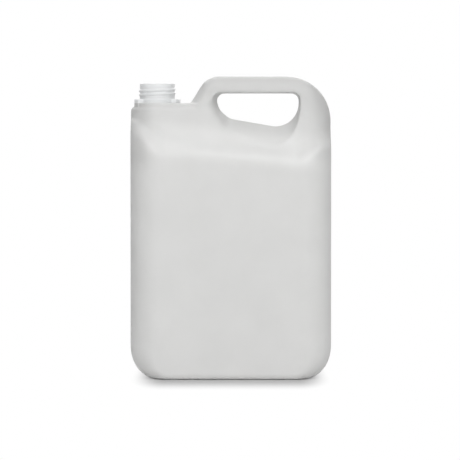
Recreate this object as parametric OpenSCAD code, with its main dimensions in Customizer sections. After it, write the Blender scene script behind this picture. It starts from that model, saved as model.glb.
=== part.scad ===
// Blow-moulded plastic jerrycan with a built-in handle and an open screw neck.
// X runs across the front face, Y through the depth, Z up from the base.

/* [Body] */
// Width across the sides
body_w = 200.4; // [190:0.1:240]
// Depth through the front and back faces
body_depth = 120; // [100:1:170]
// Height of the ledge around the neck platform
body_h = 270.5; // [262:0.5:276]
// Wall thickness all over
wall = 1.3; // [0.8:0.1:2.5]
// Radius of the upright edges, seen from above
edge_r = 30; // [20:1:38]
// Width of the bottom corners in the front view
base_corner_w = 26; // [16:1:32]
// Height of the bottom corners in the front view
base_corner_h = 33; // [20:1:45]
// Radius of the front and back bottom edges
base_edge_r = 6; // [4:1:30]
// Radius of the small corner beside the neck platform
ledge_corner_r = 5; // [3:0.5:7]
// Rise of the ledge from the neck's side to the handle's foot
ledge_rise = 1; // [0.5:0.1:2]

/* [Shoulder] */
// Drop of the shoulder bend below the body's flat top, in the middle of the can
shoulder_drop = 53.5; // [46:0.5:75]
// Radius of the bend where the face starts to lean in
shoulder_r = 12; // [6:1:18]
// Slope of the shoulder bend down towards the handle side, in degrees
shoulder_tilt = 5; // [0:0.5:7]
// Rise of the shoulder bend over the rounded edges at the two sides
shoulder_rise = 16; // [0:1:30]

/* [Handle] */
// Height of the whole can
can_h = 300.8; // [296:0.1:320]
// Height of the grip bar in the front view
grip_h = 17; // [14:0.5:24]
// Depth of the grip bar
grip_depth = 40; // [34:1:50]
// Depth of the flat on top of the grip bar
grip_flat = 8; // [4:1:14]
// Height over which the grip bar rounds off towards the top
crown_h = 15; // [11:0.5:16]
// Width over which the handle's outer edge is rounded in the front view
handle_edge_w = 14; // [8:1:24]
// Width over which its edge beside the neck is rounded
root_edge_w = 9; // [5:1:16]
// Width of the round outer corner of the handle
handle_corner_w = 44; // [30:1:55]
// Height of the round outer corner of the handle
handle_corner_h = 45; // [32:1:52]
// Distance of the handle's foot from the left side, along the platform
root_x = 59.8; // [52:0.1:66]
// Slope of the handle's rise beside the neck, in degrees
root_slope = 58.3; // [50:0.1:70]
// Radius from that rise into the top of the handle
root_r = 21; // [12:1:24]

/* [Handle opening] */
// Width of the opening at mid depth
opening_w = 84; // [60:1:88]
// Height of the opening at its right side, before the corner is rounded
opening_h = 37.4; // [36:0.1:44]
// Width of the leg between the opening and the right side
leg_w = 32; // [26:1:40]
// Slope of the opening's floor, up towards the neck, in degrees
floor_slope = 9.8; // [4:0.1:12]
// Radius of the upper corners
opening_top_r = 7.6; // [4:0.1:8]
// Radius of the lower right corner
opening_low_r = 23.4; // [12:0.1:24]
// Radius of the two bends at the lower left
opening_left_r = 15; // [6:1:17]
// Distance of the first lower left bend from the left side
left_bend_x = 3.7; // [1:0.1:5]
// Drop of the first lower left bend below the top
left_bend_drop = 16.2; // [15.5:0.1:18]
// Distance of the second lower left bend from the left side
floor_bend_x = 14.4; // [12:0.1:18]
// Slope of the opening's floor out towards the faces, in degrees
floor_draft = 21; // [5:0.1:24]
// Slope of the opening's right wall, in degrees
right_draft = 3; // [2:0.5:8]
// Slope of the opening's left wall, in degrees
left_draft = 13.5; // [3:0.5:15]
// Slope of the opening's upper wall, in degrees
top_draft = 3; // [3:0.5:13]

/* [Neck] */
// Distance of the neck's axis from the left side
neck_x = 26.45; // [25:0.05:32]
// Height of the neck's rim
neck_top = 293.5; // [290:0.5:300]
// Outer radius of the neck between the threads
neck_r = 17.6; // [16.5:0.1:18]
// Wall thickness of the neck
neck_wall = 1.8; // [1.4:0.1:2.6]
// Height of the platform that carries the neck
platform_h = 3.5; // [2.5:0.1:4.5]
// Ledge left in front of and behind the platform
platform_inset = 1.5; // [0.8:0.1:2.5]
// Distance of the platform's round end from the left side
platform_end = 3.7; // [3:0.1:5]
// Radius of the ring at the foot of the neck
ring_r = 18.9; // [18.2:0.1:19.4]
// Height of that ring
ring_h = 4; // [3:0.1:5]
// Radius to the outside of the two ratchet blocks
ratchet_r = 23.15; // [21:0.05:24]
// Width of a ratchet block
ratchet_w = 26; // [16:1:30]
// Radius of the thread's crest
thread_r = 18.65; // [18.3:0.05:19.2]
// Pitch of the thread
thread_pitch = 4; // [3.5:0.1:4.3]
// Turns of the thread
thread_turns = 1.6; // [1:0.1:1.7]
// Distance from the rim to the thread's upper end
thread_drop = 5.3; // [4:0.1:5.5]
// Direction of the thread's lower end, seen from above, in degrees
thread_start = 160; // [0:5:355]

/* [Hidden] */
$fn = 96;
overlap = 1;
half_w = body_w / 2;
half_depth = body_depth / 2;
shoulder_h = body_h - shoulder_drop;
plastic = [0.84, 0.84, 0.83];

// Side profile: the shoulder bend and the hollow flare are two arcs that meet tangent
crown_z = can_h - crown_h;
lean_in = half_depth - grip_depth / 2;
flare_rise = crown_z - shoulder_h;
flare_angle = 2 * atan(lean_in / flare_rise);
flare_r = flare_rise / sin(flare_angle) - shoulder_r;

// Handle rise beside the neck: a slanted line tangent to an arc
platform_top = body_h + platform_h;
root_left = -half_w + root_x;
root_arc_z = can_h - root_r;
root_arc_x = root_left + (root_arc_z - platform_top) / tan(root_slope) + root_r / sin(root_slope);
corner_arc_z = can_h - handle_corner_h;

// Opening at mid depth
opening_right = half_w - leg_w;
opening_left = opening_right - opening_w;
opening_top = can_h - grip_h;

// Counts of steps along the curves
edge_steps = 7;
base_steps = 6;
side_steps = 6;
bend_steps = 5;
flare_steps = 9;
ledge_steps = 3;
rise_steps = 4;
crown_steps = 7;
opening_steps = 8;
thread_steps = 30;

function quarter(u) = sqrt(max(0, 1 - u * u));
function ramp(v, from, to) = let (t = min(1, max(0, (v - from) / (to - from)))) t * t * (3 - 2 * t);
function steps(from, to, n) = [for (i = [1 : n]) from + (to - from) * i / n];

// Half depth of the can at height z, for a skin set in by inset
function depth_at(z, inset) =
    z < base_edge_r ? half_depth - base_edge_r
        + (base_edge_r - inset) * quarter((base_edge_r - z) / (base_edge_r - inset)) :
    z < shoulder_h ? half_depth - inset :
    z < shoulder_h + (shoulder_r - inset) * sin(flare_angle) ? half_depth - shoulder_r
        + (shoulder_r - inset) * quarter((z - shoulder_h) / (shoulder_r - inset)) :
    z < crown_z ? grip_depth / 2 + flare_r
        - (flare_r + inset) * quarter((crown_z - z) / (flare_r + inset)) :
    grip_flat / 2 + (grip_depth / 2 - grip_flat / 2 - inset)
        * quarter((z - crown_z) / (crown_h - inset));

// Left side in the front view, below the ledge and above it
function left_low(z, inset) =
    z < base_corner_h ? -half_w + base_corner_w
        - (base_corner_w - inset) * quarter((base_corner_h - z) / (base_corner_h - inset)) :
    z < body_h - ledge_corner_r ? -half_w + inset :
    -half_w + ledge_corner_r - (ledge_corner_r - inset)
        * quarter((z - body_h + ledge_corner_r) / (ledge_corner_r - inset));
function left_high(z, inset) =
    z < root_arc_z + (root_r - inset) * cos(root_slope)
        ? root_left + (z - platform_top) / tan(root_slope) + inset / sin(root_slope)
        : root_arc_x - (root_r - inset) * quarter((z - root_arc_z) / (root_r - inset));

// Right side in the front view
function right_at(z, inset) =
    z < base_corner_h ? -left_low(z, inset) :
    z < corner_arc_z ? half_w - inset :
    half_w - handle_corner_w + (handle_corner_w - inset)
        * quarter((z - corner_arc_z) / (handle_corner_h - inset));

// Fall of a row of points for each unit of X, strongest along the shoulder
function tilt_at(z) = tan(shoulder_tilt) * ramp(z, shoulder_h / 3, shoulder_h)
    * (1 - ramp(z, shoulder_h + shoulder_r, body_h - ledge_corner_r));

// Rise of a row of points at the two sides, strongest along the shoulder
function rise_at(z) = shoulder_rise * ramp(z, shoulder_h / 3, shoulder_h)
    * min(1, max(0, (body_h - ledge_corner_r - z) / (body_h - ledge_corner_r - shoulder_h)));

// Width over which the right edge is rounded, less towards the grip
function right_edge_at(z) = edge_r + (handle_edge_w - edge_r) * ramp(z, shoulder_h, can_h - grip_h);

// Heights of the rows of points, from the base to the ledge and from there to the top
function rows_low(inset) = concat(
    [for (i = [0 : base_steps]) base_edge_r - (base_edge_r - inset) * cos(90 * i / base_steps)],
    steps(base_edge_r, base_corner_h, 1),
    steps(base_corner_h, shoulder_h, side_steps),
    [for (i = [1 : bend_steps])
        shoulder_h + (shoulder_r - inset) * sin(flare_angle * i / bend_steps)],
    steps(shoulder_h + (shoulder_r - inset) * sin(flare_angle), body_h - ledge_corner_r,
        flare_steps),
    [for (i = [1 : ledge_steps])
        body_h - ledge_corner_r + (ledge_corner_r - inset) * sin(90 * i / ledge_steps)]);
function rows_high(inset) = concat(
    steps(body_h - inset, body_h - inset + ledge_rise, 1),
    steps(body_h - inset + ledge_rise, crown_z, rise_steps),
    [for (i = [1 : crown_steps]) crown_z + (crown_h - inset) * sin(90 * i / crown_steps)]);

// One level section: four elliptical corners joined by straight runs
function section(z, left, right, left_edge, inset) =
    let (d = depth_at(z, inset), b = min(edge_r - inset, d * 0.9), wide = right - left)
    [for (side = [[1, -1], [1, 1], [-1, 1], [-1, -1]]) for (i = [0 : edge_steps])
        let (turn = side[0] * side[1] > 0 ? 90 * i / edge_steps : 90 - 90 * i / edge_steps)
        let (a = min((side[0] > 0 ? right_edge_at(z) : left_edge) - inset, wide / 3))
        let (x = side[0] > 0 ? right - a + a * cos(turn) : left + a - a * cos(turn))
        let (y = side[1] * (d - b + b * sin(turn)))
        let (rise = rise_at(z) * ramp(abs(x), half_w - edge_r, half_w))
        [x, y, z - tilt_at(z) * x + rise]];

function skin_sections(inset) = concat(
    [for (z = rows_low(inset)) let (lean = tilt_at(z) * half_w, rise = rise_at(z))
        section(z, left_low(z + lean + rise, inset), right_at(z - lean + rise, inset), edge_r, inset)],
    [for (z = rows_high(inset))
        section(z, left_high(z, inset), right_at(z, inset), root_edge_w, inset)]);

// Closed solid through a list of rings that all have the same number of points
module skin_over(rings) {
    count = len(rings[0]);
    last = len(rings) - 1;
    polyhedron(
        points = [for (ring = rings) for (point = ring) point],
        faces = concat(
            [[for (i = [0 : count - 1]) i]],
            [[for (i = [count - 1 : -1 : 0]) last * count + i]],
            [for (j = [0 : last - 1]) for (i = [0 : count - 1])
                let (k = (i + 1) % count, here = j * count, next = here + count)
                each [[here + i, next + k, here + k], [here + i, next + i, next + k]]]),
        convexity = 6);
}

// Corners of the opening at depth y, as [x, z, radius], each wall moved out by its draft
function opening_corners(y) =
    let (right = opening_right + y * tan(right_draft), left = opening_left - y * tan(left_draft))
    let (top = opening_top + y * tan(top_draft), low = opening_top - opening_h - y * tan(floor_draft))
    let (bend = left + floor_bend_x)
    [[right, top, opening_top_r],
     [left, top, opening_top_r],
     [left + left_bend_x, opening_top - left_bend_drop - y * tan(floor_draft) / 2, opening_left_r],
     [bend, low + (right - bend) * tan(floor_slope), opening_left_r],
     [right, low, opening_low_r]];

// Rounded outline through such corners, at depth y and grown by extra
function rounded(corners, y, extra) = [
    for (i = [0 : len(corners) - 1])
        let (n = len(corners), p = corners[i], before = corners[(i + n - 1) % n])
        let (after = corners[(i + 1) % n], r = p[2])
        let (a_in = atan2(p[1] - before[1], p[0] - before[0]))
        let (a_out = atan2(after[1] - p[1], after[0] - p[0]))
        let (turn = (a_out - a_in + 360) % 360, reach = r / cos(turn / 2))
        let (mid = a_in + turn / 2 + 90)
        let (cx = p[0] + reach * cos(mid), cz = p[1] + reach * sin(mid))
        for (k = [0 : opening_steps])
            let (a = a_in - 90 + turn * k / opening_steps)
            [cx + (r + extra) * cos(a), y, cz + (r + extra) * sin(a)]];

module opening(extra) {
    far = half_depth + overlap;
    skin_over([for (y = [far, 0, -far]) rounded(opening_corners(abs(y)), y, extra)]);
}

// Raised platform under the neck: a round end and a straight run into the handle
module platform(inset) {
    end_r = depth_at(body_h, 0) - platform_inset;
    r = end_r - inset;
    translate([-half_w + platform_end + end_r, 0, body_h - ledge_corner_r])
        linear_extrude(ledge_corner_r + platform_h - inset) {
            circle(r);
            translate([0, -r]) square([root_x - platform_end - end_r + root_r / 2, 2 * r]);
        }
}

module can_skin(inset) {
    difference() {
        union() {
            skin_over(skin_sections(inset));
            platform(inset);
        }
        opening(inset);
    }
}

// Thread: a ridge with sloped flanks that fades in and out at its ends
module thread() {
    count = round(thread_steps * thread_turns);
    root = neck_r - neck_wall / 3;
    skin_over([for (i = [0 : count])
        let (a = 360 * thread_turns * i / count, fade = min(1, min(i, count - i) / 4))
        let (z = neck_top - thread_drop - thread_pitch * thread_turns * (1 - i / count))
        let (crest = neck_r - 0.1 + (thread_r - neck_r + 0.1) * fade)
        [for (p = [[root, -0.36], [root, 0.36], [crest, 0.12], [crest, -0.12]])
            [p[0] * cos(a), p[0] * sin(a), z + p[1] * thread_pitch]]]);
}

module neck() {
    translate([-half_w + neck_x, 0, 0]) {
        translate([0, 0, body_h]) cylinder(h = neck_top - body_h, r = neck_r);
        translate([0, 0, body_h]) cylinder(h = platform_h + ring_h, r = ring_r);
        intersection() {
            translate([0, 0, platform_top]) cylinder(h = ring_h, r = ratchet_r);
            translate([-ratchet_r, -ratchet_w / 2, body_h]) cube([2 * ratchet_r, ratchet_w, can_h]);
        }
        rotate([0, 0, thread_start]) thread();
    }
}

module bore() {
    translate([-half_w + neck_x, 0, body_h - ledge_corner_r])
        cylinder(h = can_h, r = neck_r - neck_wall);
}

module jerrycan() {
    color(plastic) difference() {
        union() {
            can_skin(0);
            neck();
        }
        can_skin(wall);
        bore();
    }
}

jerrycan();
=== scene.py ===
"""Blow-moulded plastic jerrycan on a white floor. Shapes are worked out in millimetres."""

import math

import bpy
import numpy as np
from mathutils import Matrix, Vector


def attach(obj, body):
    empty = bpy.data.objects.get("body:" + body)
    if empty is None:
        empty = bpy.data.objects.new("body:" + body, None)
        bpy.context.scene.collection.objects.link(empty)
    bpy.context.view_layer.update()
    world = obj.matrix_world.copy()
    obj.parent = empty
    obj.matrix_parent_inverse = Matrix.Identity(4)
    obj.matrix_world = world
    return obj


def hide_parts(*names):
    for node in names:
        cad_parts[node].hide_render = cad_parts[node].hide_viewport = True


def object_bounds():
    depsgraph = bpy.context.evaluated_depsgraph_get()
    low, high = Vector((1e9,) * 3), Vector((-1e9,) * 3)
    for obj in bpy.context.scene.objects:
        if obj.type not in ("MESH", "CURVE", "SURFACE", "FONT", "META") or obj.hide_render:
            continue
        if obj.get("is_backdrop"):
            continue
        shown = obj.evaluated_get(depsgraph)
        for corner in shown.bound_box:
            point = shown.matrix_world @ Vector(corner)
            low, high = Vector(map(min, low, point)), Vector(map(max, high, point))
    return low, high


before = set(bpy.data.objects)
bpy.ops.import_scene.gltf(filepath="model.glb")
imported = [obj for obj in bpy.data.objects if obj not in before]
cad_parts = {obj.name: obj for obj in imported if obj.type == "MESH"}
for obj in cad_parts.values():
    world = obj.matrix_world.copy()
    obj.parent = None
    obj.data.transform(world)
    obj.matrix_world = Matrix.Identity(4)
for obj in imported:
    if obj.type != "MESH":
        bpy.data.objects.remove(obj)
cad_low, cad_high = (list(map(float, corner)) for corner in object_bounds())
MM = 0.001

# Sizes of the whole can, from the parts read from model.glb
half_w = (cad_high[0] - cad_low[0]) / 2 / MM
half_depth = (cad_high[1] - cad_low[1]) / 2 / MM
can_h = cad_high[2] / MM

# Body
body_h = 270.5
wall = 1.3
edge_r = 30
base_corner_w = 26
base_corner_h = 33
base_edge_r = 6
base_edge_up = (6, 40)
base_edge_across = (62, 90)
base_edge_side_loss = 0.75
edge_share = 0.9
ledge_r = 5
ledge_rise = 1
ledge_slab_right = -20
ledge_slab_low = 150

# Shoulder
shoulder_h = 217
shoulder_r = 12
shoulder_tilt = 5
shoulder_rise = 20
crease_soft = 3
crease_soft_left = 10
crease_soft_right = 7
crease_left = (20, 85)
crease_right = (50, 90)

# Handle
grip_h = 17
grip_depth = 40
crown_h = 15
handle_corner_w = 44
handle_corner_h = 45
root_x = 59.8
root_slope = math.radians(58.3)
root_r = 21
handle_edge_w = 14
root_edge_w = 9
root_edge_across = (0, 26)
root_edge_up = (225, 262)

# Opening under the grip
opening_w = 84
opening_h = 37.4
leg_w = 32
floor_slope = math.radians(9.8)
floor_draft = math.tan(math.radians(24))
right_draft = math.tan(math.radians(4))
left_draft = math.tan(math.radians(13.5))
top_draft = math.tan(math.radians(3))
lip_sharp = 1.5
lip_soft = 11
lip_across = (-25, 25)
lip_up = (268, 282)
middle_soft = 1.2
middle_width = 0.6
opening_top_r = 7.6
opening_right_r = 23.4
opening_bend_x = 14.4
opening_bend_r = 15
opening_side_x = 3.7
opening_side_drop = 16.2
opening_side_r = 17

# Neck
neck_x = 26.45
neck_top = 293.5
neck_r = 17.6
neck_wall = 1.8
platform_h = 3.5
platform_inset = 1.5
platform_end = 3.7
platform_tuck = 15
platform_root = 12
platform_edge_r = 1.2
platform_join_r = 1.6
ring_r = 18.9
ring_h = 4
ratchet_r = 23.15
ratchet_w = 26
thread_r = 18.65
thread_pitch = 4
thread_turns = 1.6
thread_drop = 5.3
thread_start = 160
thread_fade = 0.1
thread_half = 0.38
thread_flank = 0.26
foot_edge_r = 0.6
rim_edge_r = 0.6

# Mould marks
seam_h = 0.2
seam_w = 0.6

# Steps of the meshes: across, and up the plain walls
skin_step = 1.6
skin_step_up = 8
hollow_step = 4
hollow_step_up = 14
seam_step = 0.4
seam_zone = 1.6
grid_margin = 2
plain_walls = (38, 200)
ledge_zone = (264, 277)
neck_rows = 70
neck_root = 3
bore_root = 8
bore_over = 2
sharp_angle = 38

# Plastic: painted light and shade on the wall by height, painted shade on its upper side corners,
# and the whiter and glossier neck
mottle_tones = ((0.3, 0.725), (0.7, 0.755))
blue_share = 0.994
# Painted light and shade by height over the shoulder bend: lighter at the lean, darker in the handle
painted_wall_light = ((0, 0.92), (0.18, 1), (0.32, 1), (0.5, 0.87), (0.85, 0.81))
painted_light_below_bend = 7
# Painted shade on the upper side corners: its depth, where it starts in from the sides, and its
# heights about the shoulder
painted_corner_shade = 0.14
painted_corner_shade_in = (26, 10)
painted_corner_shade_up = (-15, 10)
neck_colour = (0.72, 0.73, 0.735, 1)
neck_fade = 0.4
neck_reach = (27, 25)
wall_rough = 0.58
neck_rough = 0.28
plastic_look = {"IOR": 1.5, "Specular IOR Level": 0.35, "Subsurface Weight": 0.4,
                "Subsurface Radius": (1, 1, 1), "Subsurface Scale": 0.005}
# Noise scale, noise detail, strength and height of the broad waves and of the fine grain
wall_bumps = ((22, 1, 0.5, 0.0006), (900, 2, 0.25, 0.00006))

# Stage, in metres
floor_w = 8
floor_tone = 0.84
# Painted shadow: near the can the camera sees the floor at a darker tone, fading to plain white from
# a box around the can
painted_shadow_tone = 0.5
painted_shadow_core = (0.065, 0.05, 0)
painted_shadow_reach = (0.01, 0.14)
painted_shadow_stretch = (4, 1, 0)
sky_light = 0.97
sky_side_loss = 1.5
# Round lamps: name, place, aim, diameter and power in watts
lamps = (("key", (0.35, -2.2, 2.2), (0, 0, 0.15), 2.4, 38),
         ("front", (-0.1, -3.3, 0.9), (0, 0, 0.2), 0.5, 8),
         ("back", (0, 2.6, 1.4), (0, 0, 0.15), 2, 20))
camera_place = (-0.00085, -3.5, 0.27)
camera_aim = (-0.00085, 0, 0.1465)
frame_w = 0.4625
sensor_w = 36
view_end = 50

# Worked out from the sizes above
crown_z = can_h - crown_h
flare_rise = crown_z - shoulder_h
flare_angle = 2 * math.atan((half_depth - grip_depth / 2) / flare_rise)
flare_r = flare_rise / math.sin(flare_angle) - shoulder_r
platform_top = body_h + platform_h
root_left = -half_w + root_x
root_arc_z = can_h - root_r
root_arc_x = (root_left + (root_arc_z - platform_top) / math.tan(root_slope)
              + root_r / math.sin(root_slope))
opening_right = half_w - leg_w
opening_left = opening_right - opening_w
opening_top = can_h - grip_h
opening_low = opening_top - opening_h
axis_x = -half_w + neck_x
shoulder_slope = math.tan(math.radians(shoulder_tilt))


def ramp(value, start, end):
    t = np.clip((value - start) / (end - start), 0, 1)
    return t * t * (3 - 2 * t)


def quarter(u):
    return np.sqrt(np.maximum(0, 1 - u * u))


def smooth_max(a, b, k):
    h = np.maximum(k - np.abs(a - b), 0) / k
    return np.maximum(a, b) + h * h * k / 4


def smooth_min(a, b, k):
    return -smooth_max(-a, -b, k)


def arc(cx, cz, rx, rz, start, end, step=2):
    count = max(2, int(abs(end - start) / step))
    angles = np.radians(np.linspace(start, end, count + 1))
    return np.column_stack([cx + rx * np.cos(angles), cz + rz * np.sin(angles)])


class Outline:
    """Signed distance to a closed outline in the XZ plane, negative inside, on a fine grid"""

    def __init__(self, points, margin, pitch=0.5):
        self.low = points.min(axis=0) - margin
        self.pitch = pitch
        count = np.ceil((points.max(axis=0) + margin - self.low) / pitch).astype(int) + 1
        x = (self.low[0] + pitch * np.arange(count[0]))[:, None]
        z = (self.low[1] + pitch * np.arange(count[1]))[None, :]
        near = np.full((count[0], count[1]), 1e9)
        inside = np.zeros((count[0], count[1]), bool)
        for p, q in zip(points, np.roll(points, -1, axis=0)):
            ex, ez = q - p
            wx, wz = x - p[0], z - p[1]
            t = np.clip((wx * ex + wz * ez) / (ex * ex + ez * ez), 0, 1)
            near = np.minimum(near, (wx - ex * t) ** 2 + (wz - ez * t) ** 2)
            if ez != 0:
                spans = (p[1] <= z) != (q[1] <= z)
                inside ^= spans & (x < p[0] + (z - p[1]) / ez * ex)
        self.grid = np.where(inside, -1, 1) * np.sqrt(near)

    def __call__(self, x, z):
        """Reads the grid with smooth cubic weights"""
        gx = np.clip((x - self.low[0]) / self.pitch, 1, self.grid.shape[0] - 3)
        gz = np.clip((z - self.low[1]) / self.pitch, 1, self.grid.shape[1] - 3)
        gx, gz = np.broadcast_arrays(gx, gz)
        ix, iz = gx.astype(int), gz.astype(int)
        total = 0
        for dx, wx in enumerate(self.weights(gx - ix), -1):
            for dz, wz in enumerate(self.weights(gz - iz), -1):
                total = total + wx * wz * self.grid[ix + dx, iz + dz]
        return total

    @staticmethod
    def weights(t):
        return [(1 - t) ** 3 / 6, (3 * t ** 3 - 6 * t ** 2 + 4) / 6,
                (-3 * t ** 3 + 3 * t ** 2 + 3 * t + 1) / 6, t ** 3 / 6]


def body_outline():
    """Front view of body and handle, without the step beside the neck"""
    low_left_z = platform_top - (half_w + root_left) * math.tan(root_slope)
    slope_end = 90 + math.degrees(root_slope)
    return np.vstack([
        arc(half_w - base_corner_w, base_corner_h, base_corner_w, base_corner_h, -90, 0),
        arc(half_w - handle_corner_w, can_h - handle_corner_h, handle_corner_w,
            handle_corner_h, 0, 90),
        arc(root_arc_x, root_arc_z, root_r, root_r, 90, slope_end),
        [[-half_w, low_left_z]],
        arc(-half_w + base_corner_w, base_corner_h, base_corner_w, base_corner_h, 180, 270)])


def opening_outline():
    """Rounded outline of the opening at mid depth"""
    bend = opening_left + opening_bend_x
    bend_z = opening_low + (opening_right - bend) * math.tan(floor_slope)
    corners = [(opening_right, opening_top, opening_top_r),
               (opening_left, opening_top, opening_top_r),
               (opening_left + opening_side_x, opening_top - opening_side_drop, opening_side_r),
               (bend, bend_z, opening_bend_r),
               (opening_right, opening_low, opening_right_r)]
    rings = []
    for i, (px, pz, r) in enumerate(corners):
        before, after = corners[i - 1], corners[(i + 1) % len(corners)]
        a_in = math.degrees(math.atan2(pz - before[1], px - before[0]))
        a_out = math.degrees(math.atan2(after[1] - pz, after[0] - px))
        turn = (a_out - a_in) % 360
        mid = math.radians(a_in + turn / 2 + 90)
        reach = r / math.cos(math.radians(turn / 2))
        cx, cz = px + reach * math.cos(mid), pz + reach * math.sin(mid)
        rings.append(arc(cx, cz, r, r, a_in - 90, a_in - 90 + turn, step=3))
    return np.vstack(rings)


front = Outline(body_outline(), 8)
hole = Outline(opening_outline(), 30)


def row_height(x, z):
    """Height of a point once the shoulder's slope and its rise at the sides are taken out"""
    row = z + 0 * x
    fade_end = body_h - ledge_r
    rise = shoulder_rise * ramp(np.abs(x), half_w - 1.25 * edge_r, half_w - edge_r / 5)
    for _ in range(12):
        grow = ramp(row, shoulder_h / 3, shoulder_h)
        lean = shoulder_slope * (1 - ramp(row, shoulder_h + shoulder_r, fade_end))
        lift = rise * np.clip((fade_end - row) / (fade_end - shoulder_h), 0, 1)
        row = z + grow * (x * lean - lift)
    return row


def depth_at(row, inset):
    """Half depth of the can: upright face, shoulder bend, hollow flare, then the grip"""
    bend_end = shoulder_h + (shoulder_r - inset) * math.sin(flare_angle)
    bend = half_depth - shoulder_r + (shoulder_r - inset) * quarter(
        np.maximum(0, row - shoulder_h) / (shoulder_r - inset))
    flare = grip_depth / 2 + flare_r - (flare_r + inset) * quarter(
        np.clip(crown_z - row, 0, flare_rise) / (flare_r + inset))
    return np.where(row < shoulder_h, half_depth - inset, np.where(row < bend_end, bend, flare))


def rounded_slab(side, y, depth, a, b):
    """Slab of half depth `depth` whose edge at side = 0 is an ellipse a wide and b deep"""
    u = np.maximum(0, (a - side) / a)
    v = np.maximum(0, (np.abs(y) - depth + b) / b)
    return (np.sqrt(u * u + v * v + 1e-9) - 1) * b


def skin(x, y, z, inset=0.0):
    """Below zero inside the can's outer skin, or inside a skin set in by inset"""
    row = row_height(x, z)
    blur = crease_soft + crease_soft_left * ramp(-x, *crease_left)
    blur = blur + crease_soft_right * ramp(x, *crease_right)
    depth = sum(depth_at(row + blur * step, inset) for step in (-1, -0.5, 0, 0.5, 1)) / 5
    side = -front(x, z) - inset - seam_h

    a = edge_r + (handle_edge_w - edge_r) * ramp(z, shoulder_h, opening_top)
    a = a + (root_edge_w - a) * ramp(-x, *root_edge_across) * ramp(z, *root_edge_up)
    base = 1 - base_edge_side_loss * ramp(np.abs(x), *base_edge_across)
    base = (1 - ramp(z, *base_edge_up)) * base
    a = a + (base_edge_r - edge_r) * base
    b = np.minimum(edge_r + (base_edge_r - edge_r) * base, edge_share * depth + inset)
    main = rounded_slab(side, y, depth, a - inset, b - inset)

    left = rounded_slab(x + half_w - inset - seam_h, y, depth, edge_r - inset,
                        np.minimum(edge_r, edge_share * depth + inset) - inset)
    ledge = body_h + ledge_rise * np.clip((x + half_w) / root_x, 0, 1)
    left = smooth_max(left, z - ledge + inset, ledge_r)
    left = np.maximum(left, np.maximum(x - ledge_slab_right, ledge_slab_low - z))

    end_r = grip_depth / 2 + flare_r * (1 - quarter((crown_z - body_h) / flare_r)) - platform_inset
    end_x = -half_w + platform_end + end_r
    reach = np.hypot(x - np.clip(x, end_x, root_left + platform_tuck), y) - end_r + inset
    platform = smooth_max(reach, z - platform_top + inset, platform_edge_r)
    platform = np.maximum(platform, body_h - platform_root - z)
    body = smooth_min(np.minimum(main, left), platform, platform_join_r)

    out = np.sqrt(y * y + middle_soft ** 2) - middle_width
    low, top = opening_low - out * floor_draft, opening_top + out * top_draft
    start, end = opening_left - out * left_draft, opening_right + out * right_draft
    hole_x = x + out * left_draft - out * (left_draft + right_draft) * ramp(x, start, end)
    hole_z = z + out * floor_draft - out * (floor_draft + top_draft) * ramp(z, low, top)
    soft = ramp(-x, *lip_across) * ramp(-z, -lip_up[1], -lip_up[0])
    lip = lip_sharp + (lip_soft - lip_sharp) * soft
    body = smooth_max(body, inset - hole(hole_x, hole_z), lip)
    if inset == 0:
        body = body - seam_h * np.exp(-(y / seam_w) ** 2)
    return body


def surface_net(field, xs, ys, zs):
    """Closed quad mesh over field = 0 on a grid of uneven steps"""
    value = field(xs[:, None, None], ys[None, :, None], zs[None, None, :])
    value = np.broadcast_to(value, (len(xs), len(ys), len(zs)))
    inside = value < 0
    corners = [(i, j, k) for i in (0, 1) for j in (0, 1) for k in (0, 1)]
    shape = tuple(n - 1 for n in value.shape)

    def corner_of(array, offset):
        return array[tuple(slice(o, o + n) for o, n in zip(offset, shape))]

    count = sum(corner_of(inside, c).astype(np.int8) for c in corners)
    cells = np.argwhere((count > 0) & (count < 8))
    number = np.full(shape, -1)
    number[tuple(cells.T)] = np.arange(len(cells))
    total, hits = np.zeros((len(cells), 3)), np.zeros((len(cells), 1))
    levels = (xs, ys, zs)
    for c in corners:
        for axis in range(3):
            if c[axis]:
                continue
            a, b = cells + c, cells + c
            b[:, axis] += 1
            va, vb = value[tuple(a.T)], value[tuple(b.T)]
            cross = ((va < 0) != (vb < 0))[:, None]
            t = np.where(cross[:, 0], va / np.where(va == vb, 1, va - vb), 0)
            point = np.column_stack([levels[n][a[:, n]] for n in range(3)])
            point[:, axis] += t * (levels[axis][b[:, axis]] - levels[axis][a[:, axis]])
            total += cross * point
            hits += cross
    points = total / np.maximum(hits, 1)
    quads = []
    for axis in range(3):
        u, v = (axis + 1) % 3, (axis + 2) % 3
        here = np.moveaxis(inside, axis, 0)[:-1] != np.moveaxis(inside, axis, 0)[1:]
        edges = np.argwhere(np.moveaxis(here, 0, axis))
        limit = np.array(shape)
        edges = edges[(edges[:, u] > 0) & (edges[:, v] > 0)
                      & (edges[:, u] < limit[u]) & (edges[:, v] < limit[v])]
        ring = []
        for du, dv in ((1, 1), (0, 1), (0, 0), (1, 0)):
            cell = edges.copy()
            cell[:, u] -= du
            cell[:, v] -= dv
            ring.append(number[tuple(cell.T)])
        ring = np.column_stack(ring)
        flip = ~inside[tuple(edges.T)]
        ring[flip] = ring[flip][:, ::-1]
        quads.append(ring)
    return points, np.vstack(quads)


def settle(field, points, rounds=3, step=0.02, least_slope=0.05, longest=0.8):
    """Moves points onto field = 0"""
    for _ in range(rounds):
        x, y, z = points.T
        slope = np.column_stack([
            field(x + step, y, z) - field(x - step, y, z),
            field(x, y + step, z) - field(x, y - step, z),
            field(x, y, z + step) - field(x, y, z - step)]) / (2 * step)
        move = field(x, y, z) / np.maximum((slope ** 2).sum(axis=1), least_slope)
        points = points - slope * np.clip(move, -longest, longest)[:, None]
    return points


def levels(*stretches):
    """Grid levels from (start, end, step) stretches"""
    parts = []
    for start, end, step in stretches:
        count = max(1, round((end - start) / step))
        parts.append(np.linspace(start, end, count, endpoint=False))
    return np.append(np.concatenate(parts), stretches[-1][1])


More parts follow.
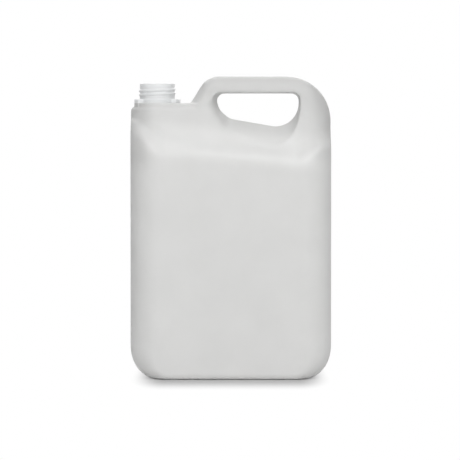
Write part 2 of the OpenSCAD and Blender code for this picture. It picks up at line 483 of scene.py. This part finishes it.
def mesh_object(name, points, faces):
    mesh = bpy.data.meshes.new(name)
    mesh.from_pydata((np.asarray(points) * MM).tolist(), [], [list(map(int, f)) for f in faces])
    mesh.validate()
    thing = bpy.data.objects.new(name, mesh)
    bpy.context.scene.collection.objects.link(thing)
    return thing


def skin_object(name, inset, fine, coarse):
    """Mesh of the outer skin, or of the inner one when inset is the wall"""
    seam = (-seam_zone, seam_zone, seam_step if inset == 0 else seam_zone)
    end_x, end_y = half_w + grid_margin, half_depth + grid_margin
    xs = levels((-end_x, end_x, fine))
    ys = levels((-end_y, -seam_zone, fine), seam, (seam_zone, end_y, fine))
    zs = levels((-grid_margin, plain_walls[0], fine), (*plain_walls, coarse),
                (plain_walls[1], ledge_zone[0], fine), (*ledge_zone, fine / 2),
                (ledge_zone[1], can_h + grid_margin, fine))

    def field(x, y, z):
        return np.maximum(skin(x, y, z, inset), inset - z)

    points, quads = surface_net(field, xs, ys, zs)
    points = settle(field, points)
    points[:, 0] = np.clip(points[:, 0], -half_w, half_w)
    return mesh_object(name, points, quads)


def lathe(name, radii, heights, angles, close_low, close_high):
    """Closed mesh around the neck's axis; row i has radius radii[i] at each angle"""
    rows = [np.column_stack([axis_x + r * np.cos(angles), r * np.sin(angles),
                             np.full(len(angles), h)]) for r, h in zip(radii, heights)]
    points = np.vstack(rows + [[[axis_x, 0, close_low], [axis_x, 0, close_high]]])
    count, last = len(angles), len(rows) - 1
    i = np.arange(count)
    k = (i + 1) % count
    faces = []
    for row in range(last):
        here, there = row * count, (row + 1) * count
        faces += np.column_stack([here + i, here + k, there + k, there + i]).tolist()
    low, high = len(points) - 2, len(points) - 1
    faces += np.column_stack([k, i, np.full(count, low)]).tolist()
    faces += np.column_stack([last * count + i, last * count + k, np.full(count, high)]).tolist()
    return mesh_object(name, points, faces)


def thread_height(angles, z):
    """How far the thread stands out of the neck at each angle, at height z"""
    low = neck_top - thread_drop - thread_pitch * thread_turns
    start = np.mod(angles - math.radians(thread_start), 2 * math.pi) / (2 * math.pi)
    out = np.zeros(len(angles))
    for turn in range(2):
        along = start + turn
        fade = ramp(along, 0, thread_fade) * ramp(thread_turns - along, 0, thread_fade)
        away = np.abs(z - low - thread_pitch * along) / thread_pitch
        out = np.maximum(out, (thread_r - neck_r) * fade * ramp(thread_half - away, 0, thread_flank))
    return out


def build_neck():
    """Neck with its thread, foot ring and the two ratchet blocks, without the bore"""
    angles = np.radians(np.arange(0, 360, 1.5))
    block = np.minimum(ratchet_r, ratchet_w / 2 / np.maximum(np.abs(np.sin(angles)), 0.01))
    foot = np.maximum(ring_r, block)
    ring_top = platform_top + ring_h
    radii, heights = [foot], [body_h - neck_root]
    for turn in np.radians(np.arange(0, 91, 15)):
        radii.append(foot - foot_edge_r * (1 - np.cos(turn)))
        heights.append(ring_top - foot_edge_r * (1 - np.sin(turn)))
    for turn in np.radians(np.arange(90, -1, -30)):
        radii.append(np.full(len(angles), neck_r + rim_edge_r * (1 - np.cos(turn))))
        heights.append(ring_top + rim_edge_r * (1 - np.sin(turn)) + 0.01)
    radii, heights = radii[:-1], heights[:-1]
    for z in np.linspace(ring_top + rim_edge_r, neck_top - rim_edge_r, neck_rows):
        radii.append(neck_r + thread_height(angles, z))
        heights.append(z)
    for turn in np.radians(np.arange(15, 91, 15)):
        radii.append(np.full(len(angles), neck_r - rim_edge_r * (1 - np.cos(turn))))
        heights.append(neck_top - rim_edge_r * (1 - np.sin(turn)))
    return lathe("neck", radii, heights, angles, body_h - neck_root, neck_top)


def build_bore():
    """What is cut out of the neck: a bore with a rounded upper edge"""
    angles = np.radians(np.arange(0, 360, 3))
    bore_r = neck_r - neck_wall
    radii, heights = [bore_r, bore_r], [body_h - bore_root, neck_top - rim_edge_r]
    for turn in np.radians(np.arange(15, 91, 15)):
        radii.append(bore_r + rim_edge_r * (1 - math.cos(turn)))
        heights.append(neck_top - rim_edge_r * (1 - math.sin(turn)))
    radii.append(bore_r + rim_edge_r)
    heights.append(neck_top + bore_over)
    radii = [np.full(len(angles), r) for r in radii]
    return lathe("bore", radii, heights, angles, body_h - bore_root, neck_top + bore_over)


def combine(base, tool, operation):
    """Joins or cuts two closed meshes and keeps the result in the first"""
    change = base.modifiers.new("combine", "BOOLEAN")
    change.object = tool
    change.operation = operation
    change.solver = "MANIFOLD"
    result = base.evaluated_get(bpy.context.evaluated_depsgraph_get())
    mesh = bpy.data.meshes.new_from_object(result)
    base.modifiers.clear()
    base.data = mesh
    bpy.data.objects.remove(tool)


def build_can():
    can = skin_object("can", 0.0, skin_step, skin_step_up)
    combine(can, build_neck(), "UNION")
    hollow = skin_object("hollow", wall, hollow_step, hollow_step_up)
    combine(hollow, build_bore(), "UNION")
    combine(can, hollow, "DIFFERENCE")
    can.data.polygons.foreach_set("use_smooth", [True] * len(can.data.polygons))
    can.data.set_sharp_from_angle(angle=math.radians(sharp_angle))
    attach(can, "root")
    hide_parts("jerrycan")
    return can


def plug(tree, socket, value):
    """Links an output to a socket, or sets a plain value there"""
    if isinstance(value, bpy.types.NodeSocket):
        tree.links.new(value, socket)
    else:
        socket.default_value = value


def add_node(tree, kind, **values):
    """New node; each value goes to the input of that name, with _ for a space"""
    node = tree.nodes.new(kind)
    for name, value in values.items():
        plug(tree, node.inputs[name.replace("_", " ")], value)
    return node


def math_of(tree, operation, *values):
    """Output of a math node whose inputs are other outputs or plain numbers"""
    node = tree.nodes.new("ShaderNodeMath")
    node.operation = operation
    for socket, value in zip(node.inputs, values):
        plug(tree, socket, value)
    return node.outputs["Value"]


def vector_of(tree, operation, *values):
    """Output of a vector math node; LENGTH gives a number and the others a vector"""
    node = tree.nodes.new("ShaderNodeVectorMath")
    node.operation = operation
    for socket, value in zip(node.inputs, values):
        plug(tree, socket, value)
    return node.outputs["Value" if operation == "LENGTH" else "Vector"]


def span_of(tree, value, start, end, low=0.0, high=1.0, interpolation="LINEAR"):
    """Output that runs from low to high while value runs from start to end"""
    node = tree.nodes.new("ShaderNodeMapRange")
    node.interpolation_type = interpolation
    names = ("Value", "From Min", "From Max", "To Min", "To Max")
    for name, entry in zip(names, (value, start, end, low, high)):
        plug(tree, node.inputs[name], entry)
    return node.outputs["Result"]


def greys_of(tree, value, stops, interpolation="LINEAR"):
    """Grey that follows stops, each a place and a level"""
    node = add_node(tree, "ShaderNodeValToRGB", Fac=value)
    node.color_ramp.interpolation = interpolation
    elements = node.color_ramp.elements
    while len(elements) < len(stops):
        elements.new(1)
    for element, (place, level) in zip(elements, stops):
        element.position = place
        element.color = (level, level, blue_share * level, 1)
    return node.outputs["Color"]


def mix_colours(tree, factor, first, second):
    node = tree.nodes.new("ShaderNodeMix")
    node.data_type = "RGBA"
    for name, value in (("Factor", factor), ("A", first), ("B", second)):
        plug(tree, node.inputs[name], value)
    return node.outputs["Result"]


def mix_shaders(tree, factor, first, second, output):
    """Sends a mix of two shaders to the output node of that name"""
    blend = tree.nodes.new("ShaderNodeMixShader")
    for socket, value in zip(blend.inputs, (factor, first, second)):
        tree.links.new(value, socket)
    tree.links.new(blend.outputs["Shader"], tree.nodes[output].inputs["Surface"])


def axes_of(tree, place):
    """X, Y and Z outputs of a vector"""
    return add_node(tree, "ShaderNodeSeparateXYZ", Vector=place).outputs


def wall_colour_with_painted_light(tree, place, axes):
    """Mottled white times painted light by height, lighter at the shoulder lean and darker in the
    handle, and painted shade on the upper side corners
    """
    mottle = add_node(tree, "ShaderNodeTexNoise", Vector=place, Scale=28, Detail=3)
    tint = greys_of(tree, mottle.outputs["Fac"], mottle_tones)
    lean = math.tan(math.radians(shoulder_tilt))
    over_bend = math_of(tree, "MULTIPLY_ADD", axes["X"], lean, axes["Z"])
    # Painted light and shade by height over the shoulder bend
    height = span_of(tree, over_bend, (shoulder_h - painted_light_below_bend) * MM, can_h * MM)
    shade = vector_of(tree, "MULTIPLY", tint, greys_of(tree, height, painted_wall_light, "EASE"))
    # Painted shade darkening the upper side corners
    side_start, side_end = ((half_w - inwards) * MM for inwards in painted_corner_shade_in)
    side = span_of(tree, math_of(tree, "ABSOLUTE", axes["X"]), side_start, side_end,
                   interpolation="SMOOTHSTEP")
    up_start, up_end = ((shoulder_h + up) * MM for up in painted_corner_shade_up)
    upper = span_of(tree, axes["Z"], up_start, up_end, high=-painted_corner_shade,
                    interpolation="SMOOTHSTEP")
    corner = tree.nodes.new("ShaderNodeVectorMath")
    corner.operation = "SCALE"
    tree.links.new(shade, corner.inputs[0])
    tree.links.new(math_of(tree, "MULTIPLY_ADD", side, upper, 1.0), corner.inputs["Scale"])
    return corner.outputs["Vector"]


def neck_mask(tree, axes):
    """1 on the neck and 0 on the rest of the can"""
    above = span_of(tree, axes["Z"], (platform_top - neck_fade) * MM,
                    (platform_top + neck_fade) * MM)
    start, end = ((axis_x + reach) * MM for reach in neck_reach)
    return math_of(tree, "MULTIPLY", above, span_of(tree, axes["X"], start, end))


def wall_normal(tree, place):
    """Normal with the broad waves of the blown wall and a fine moulded grain over them"""
    normal = None
    for scale, detail, strength, distance in wall_bumps:
        noise = add_node(tree, "ShaderNodeTexNoise", Vector=place, Scale=scale, Detail=detail)
        bump = add_node(tree, "ShaderNodeBump", Height=noise.outputs["Fac"],
                        Strength=strength, Distance=distance)
        if normal is not None:
            tree.links.new(normal, bump.inputs["Normal"])
        normal = bump.outputs["Normal"]
    return normal


def plastic_material():
    """Natural HDPE: soft sheen, faint mottling, a fine moulded grain, and painted light and shade on
    the wall
    """
    material = bpy.data.materials.new("hdpe")
    material.use_nodes = True
    tree = material.node_tree
    shader = tree.nodes["Principled BSDF"]
    for name, value in plastic_look.items():
        shader.inputs[name].default_value = value
    place = tree.nodes.new("ShaderNodeTexCoord").outputs["Object"]
    axes = axes_of(tree, place)
    neck = neck_mask(tree, axes)
    colour = mix_colours(tree, neck, wall_colour_with_painted_light(tree, place, axes), neck_colour)
    tree.links.new(colour, shader.inputs["Base Color"])
    rough = span_of(tree, neck, 0.0, 1.0, wall_rough, neck_rough)
    tree.links.new(rough, shader.inputs["Roughness"])
    tree.links.new(wall_normal(tree, place), shader.inputs["Normal"])
    return material


def floor_material():
    """Pale floor that keeps the can's shadow, with a painted shadow around it: the camera sees a
    darker tone near the can that fades to plain white with distance
    """
    material = bpy.data.materials.new("floor")
    material.use_nodes = True
    tree = material.node_tree
    shader = tree.nodes["Principled BSDF"]
    shader.inputs["Roughness"].default_value = 0.9
    shader.inputs["Specular IOR Level"].default_value = 0
    camera_ray = tree.nodes.new("ShaderNodeLightPath").outputs["Is Camera Ray"]
    tones = ((tone, tone, tone, 1) for tone in (floor_tone, painted_shadow_tone))
    tree.links.new(mix_colours(tree, camera_ray, *tones), shader.inputs["Base Color"])

    # Painted shadow: the darker camera tone fades to white with distance from the can
    away = tree.nodes.new("ShaderNodeTexCoord").outputs["Object"]
    away = vector_of(tree, "SUBTRACT", vector_of(tree, "ABSOLUTE", away), painted_shadow_core)
    away = vector_of(tree, "MAXIMUM", away, (0, 0, 0))
    away = vector_of(tree, "LENGTH", vector_of(tree, "MULTIPLY", away, painted_shadow_stretch))
    far = span_of(tree, away, *painted_shadow_reach, interpolation="SMOOTHSTEP")
    white = add_node(tree, "ShaderNodeEmission", Strength=1.0)
    mix_shaders(tree, math_of(tree, "MULTIPLY", camera_ray, far), shader.outputs["BSDF"],
                white.outputs["Emission"], "Material Output")
    return material


def build_floor():
    bpy.ops.mesh.primitive_plane_add(size=floor_w, location=(0, 0, 0))
    floor = bpy.context.object
    floor.name = "floor"
    floor.data.materials.append(floor_material())
    floor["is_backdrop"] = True


def build_world():
    """White behind the can, and a dimmer light that is weakest from the two sides"""
    world = bpy.data.worlds.new("studio")
    bpy.context.scene.world = world
    world.use_nodes = True
    tree = world.node_tree
    axes = axes_of(tree, tree.nodes.new("ShaderNodeTexCoord").outputs["Generated"])
    sideways = math_of(tree, "MULTIPLY", axes["X"], axes["X"])
    strength = math_of(tree, "MULTIPLY_ADD", sideways, -sky_light * sky_side_loss, sky_light)
    lit = tree.nodes["Background"]
    lit.inputs["Color"].default_value = (1, 1, 1, 1)
    tree.links.new(math_of(tree, "MAXIMUM", strength, 0.0), lit.inputs["Strength"])
    shown = add_node(tree, "ShaderNodeBackground", Color=(1, 1, 1, 1), Strength=1.0)
    rays = tree.nodes.new("ShaderNodeLightPath").outputs
    seen = math_of(tree, "MAXIMUM", rays["Is Camera Ray"], rays["Is Glossy Ray"])
    seen = math_of(tree, "MAXIMUM", seen, rays["Is Transmission Ray"])
    mix_shaders(tree, seen, lit.outputs["Background"], shown.outputs["Background"],
                "World Output")


def add_lamp(name, place, aim, size, power):
    data = bpy.data.lights.new(name, "AREA")
    data.shape = "DISK"
    data.size = size
    data.energy = power
    lamp = bpy.data.objects.new(name, data)
    bpy.context.scene.collection.objects.link(lamp)
    lamp.location = place
    lamp.rotation_euler = (Vector(aim) - Vector(place)).to_track_quat("-Z", "Y").to_euler()


def add_camera():
    data = bpy.data.cameras.new("camera")
    camera = bpy.data.objects.new("camera", data)
    bpy.context.scene.collection.objects.link(camera)
    bpy.context.scene.camera = camera
    place, aim = Vector(camera_place), Vector(camera_aim)
    camera.location = place
    camera.rotation_euler = (aim - place).to_track_quat("-Z", "Y").to_euler()
    data.sensor_width = sensor_w
    data.lens = sensor_w * (aim - place).length / frame_w
    data.clip_end = view_end


can = build_can()
can.data.materials.clear()
can.data.materials.append(plastic_material())
build_floor()
build_world()
for lamp_values in lamps:
    add_lamp(*lamp_values)
add_camera()
bpy.context.scene.view_settings.view_transform = "Standard"
